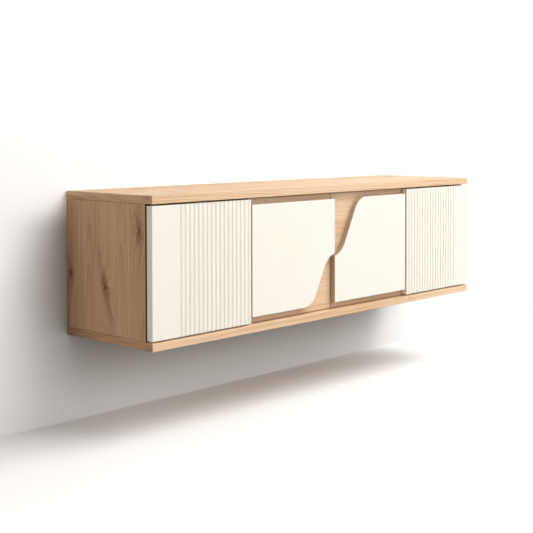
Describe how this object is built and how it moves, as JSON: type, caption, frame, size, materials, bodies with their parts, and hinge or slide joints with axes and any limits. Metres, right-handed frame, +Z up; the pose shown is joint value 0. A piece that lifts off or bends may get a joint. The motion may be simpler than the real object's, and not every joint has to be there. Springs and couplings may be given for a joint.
{
  "type": "wall cabinet",
  "caption": "Low wall-hung oak cabinet with fluted cream doors at the ends and middle doors whose cream front plates meet in an S-shaped cut.",
  "frame": {"origin": "middle of the hanging rail's wall face, on the wall plane, halfway along the cabinet and at the height of the upper wall screws", "axes": "+X along the cabinet's length, to the viewer's right; +Y from the front into the wall; +Z up"},
  "size_m": [1.2, 0.3, 0.33],
  "materials": {
    "oak": "light oak with a matt oil-like finish",
    "cream_lacquer": "cream satin lacquer on fibreboard",
    "back_board": "thin oak-faced board",
    "nickel_plated_steel": "satin nickel plate",
    "zinc_plated_steel": "zinc plate",
    "grey_plastic": "moulded grey plastic",
    "magnet": "dark sintered magnet"
  },
  "bodies": {
    "carcass": {"back_panel": "back_board", "bottom_panel": "oak", "bottom_rail": "oak", "left_catch_magnet": "magnet", "left_divider": "oak", "left_door_lower_hinge_arm": "nickel_plated_steel", "left_door_lower_hinge_mount": "zinc_plated_steel", "left_door_upper_hinge_arm": "nickel_plated_steel", "left_door_upper_hinge_mount": "zinc_plated_steel", "left_latch_housing": "grey_plastic", "left_shelf": "oak", "left_shelf_pin_front_inner": "nickel_plated_steel", "left_shelf_pin_front_outer": "nickel_plated_steel", "left_shelf_pin_rear_inner": "nickel_plated_steel", "left_shelf_pin_rear_outer": "nickel_plated_steel", "left_side_panel": "oak", "middle_catch": "grey_plastic", "middle_left_door_lower_hinge_arm": "nickel_plated_steel", "middle_left_door_lower_hinge_mount": "zinc_plated_steel", "middle_left_door_upper_hinge_arm": "nickel_plated_steel", "middle_left_door_upper_hinge_mount": "zinc_plated_steel", "middle_right_door_lower_hinge_arm": "nickel_plated_steel", "middle_right_door_lower_hinge_mount": "zinc_plated_steel", "middle_right_door_upper_hinge_arm": "nickel_plated_steel", "middle_right_door_upper_hinge_mount": "zinc_plated_steel", "right_catch_magnet": "magnet", "right_divider": "oak", "right_door_lower_hinge_arm": "nickel_plated_steel", "right_door_lower_hinge_mount": "zinc_plated_steel", "right_door_upper_hinge_arm": "nickel_plated_steel", "right_door_upper_hinge_mount": "zinc_plated_steel", "right_latch_housing": "grey_plastic", "right_shelf": "oak", "right_shelf_pin_front_inner": "nickel_plated_steel", "right_shelf_pin_front_outer": "nickel_plated_steel", "right_shelf_pin_rear_inner": "nickel_plated_steel", "right_shelf_pin_rear_outer": "nickel_plated_steel", "right_side_panel": "oak", "top_hanging_rail": "oak", "top_panel": "oak"},
    "left_door": {"left_door": "cream_lacquer", "left_door_lower_hinge_cup": "nickel_plated_steel", "left_door_strike": "nickel_plated_steel", "left_door_upper_hinge_cup": "nickel_plated_steel"},
    "right_door": {"right_door": "cream_lacquer", "right_door_lower_hinge_cup": "nickel_plated_steel", "right_door_strike": "nickel_plated_steel", "right_door_upper_hinge_cup": "nickel_plated_steel"},
    "middle_left_door": {"middle_left_door_leaf": "oak", "middle_left_door_lower_hinge_cup": "nickel_plated_steel", "middle_left_door_strike": "nickel_plated_steel", "middle_left_door_upper_hinge_cup": "nickel_plated_steel", "middle_left_front_plate": "cream_lacquer"},
    "middle_right_door": {"middle_right_door_leaf": "oak", "middle_right_door_lower_hinge_cup": "nickel_plated_steel", "middle_right_door_strike": "nickel_plated_steel", "middle_right_door_upper_hinge_cup": "nickel_plated_steel", "middle_right_front_plate": "cream_lacquer"},
    "left_latch_plunger": {"left_latch_plunger": "grey_plastic"},
    "right_latch_plunger": {"right_latch_plunger": "grey_plastic"}
  },
  "joints": [
    {"name": "left_door_hinge", "type": "hinge", "parent": "carcass", "child": "left_door", "pos_m": [-0.5918, -0.2895, -0.112], "axis": [0, 0, -1], "range_deg": [0, 105]},
    {"name": "right_door_hinge", "type": "hinge", "parent": "carcass", "child": "right_door", "pos_m": [0.5918, -0.2895, -0.112], "axis": [0, 0, 1], "range_deg": [0, 105]},
    {"name": "middle_left_door_hinge", "type": "hinge", "parent": "carcass", "child": "middle_left_door", "pos_m": [-0.288, -0.2895, -0.112], "axis": [0, 0, -1], "range_deg": [0, 95]},
    {"name": "middle_right_door_hinge", "type": "hinge", "parent": "carcass", "child": "middle_right_door", "pos_m": [0.288, -0.2895, -0.112], "axis": [0, 0, 1], "range_deg": [0, 95]},
    {"name": "left_latch_press", "type": "slide", "parent": "carcass", "child": "left_latch_plunger", "axis": [0, 1, 0], "range_m": [0, 0.003], "stiffness_N_per_m": 200},
    {"name": "right_latch_press", "type": "slide", "parent": "carcass", "child": "right_latch_plunger", "axis": [0, 1, 0], "range_m": [0, 0.003], "stiffness_N_per_m": 200}
  ]
}
